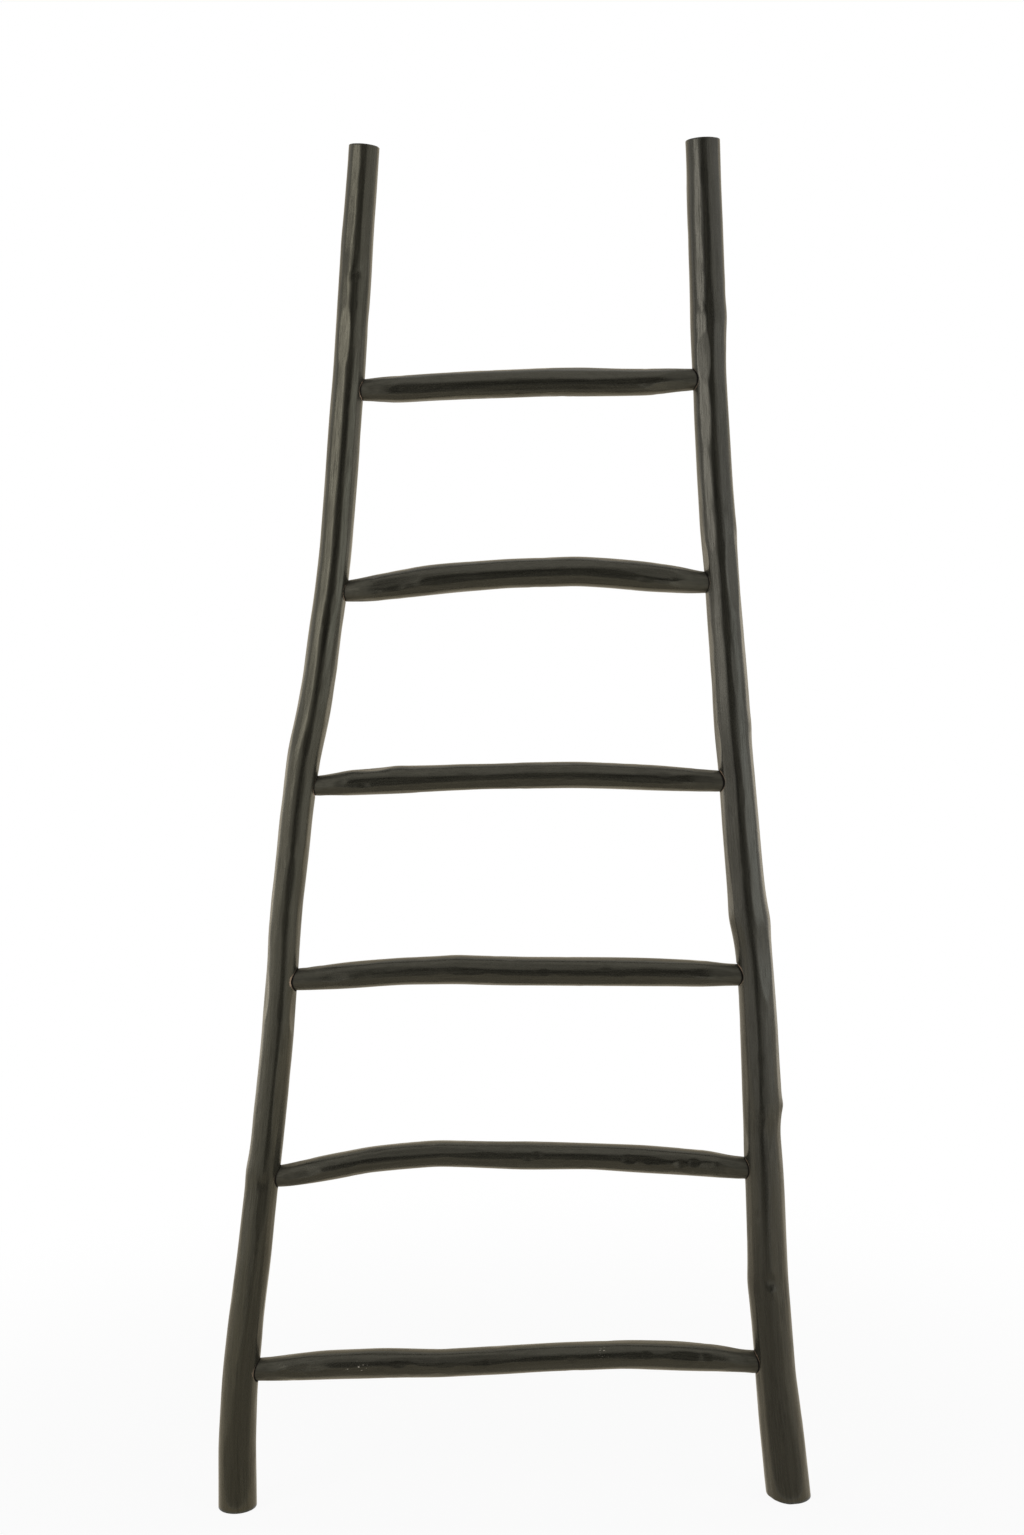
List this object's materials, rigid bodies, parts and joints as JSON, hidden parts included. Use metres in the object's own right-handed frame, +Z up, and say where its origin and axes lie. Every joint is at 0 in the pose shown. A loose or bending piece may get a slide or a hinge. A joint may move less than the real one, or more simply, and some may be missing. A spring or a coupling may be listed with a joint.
{
  "type": "decorative ladder",
  "caption": "Tall rustic ladder of natural, slightly crooked poles joined by bowed branch rungs, stained black, for display or for hanging blankets and towels.",
  "frame": {"origin": "on the floor, at the middle of the bounding box's bottom face, which is midway between the outer edges of the two soles", "axes": "+X to the right seen from the front, +Y to the back (away from the viewer), +Z up; the ladder stands upright as pictured"},
  "size_m": [0.7828, 0.0573, 1.8],
  "materials": {
    "stile_finish": "satin black stain over a peeled, hand-shaved pole, with soft streaks along the grain",
    "rung_finish": "satin black stain over a peeled, hand-shaved branch, slightly streaked along the grain",
    "brad_steel": "plain dull steel brad, punched below the surface"
  },
  "bodies": {
    "root": {"left_stile": "stile_finish", "right_stile": "stile_finish", "rung_1": "rung_finish", "rung_2": "rung_finish", "rung_3": "rung_finish", "rung_4": "rung_finish", "rung_5": "rung_finish", "rung_6": "rung_finish", "left_tenon_brads": "brad_steel", "right_tenon_brads": "brad_steel"}
  },
  "joints": []
}
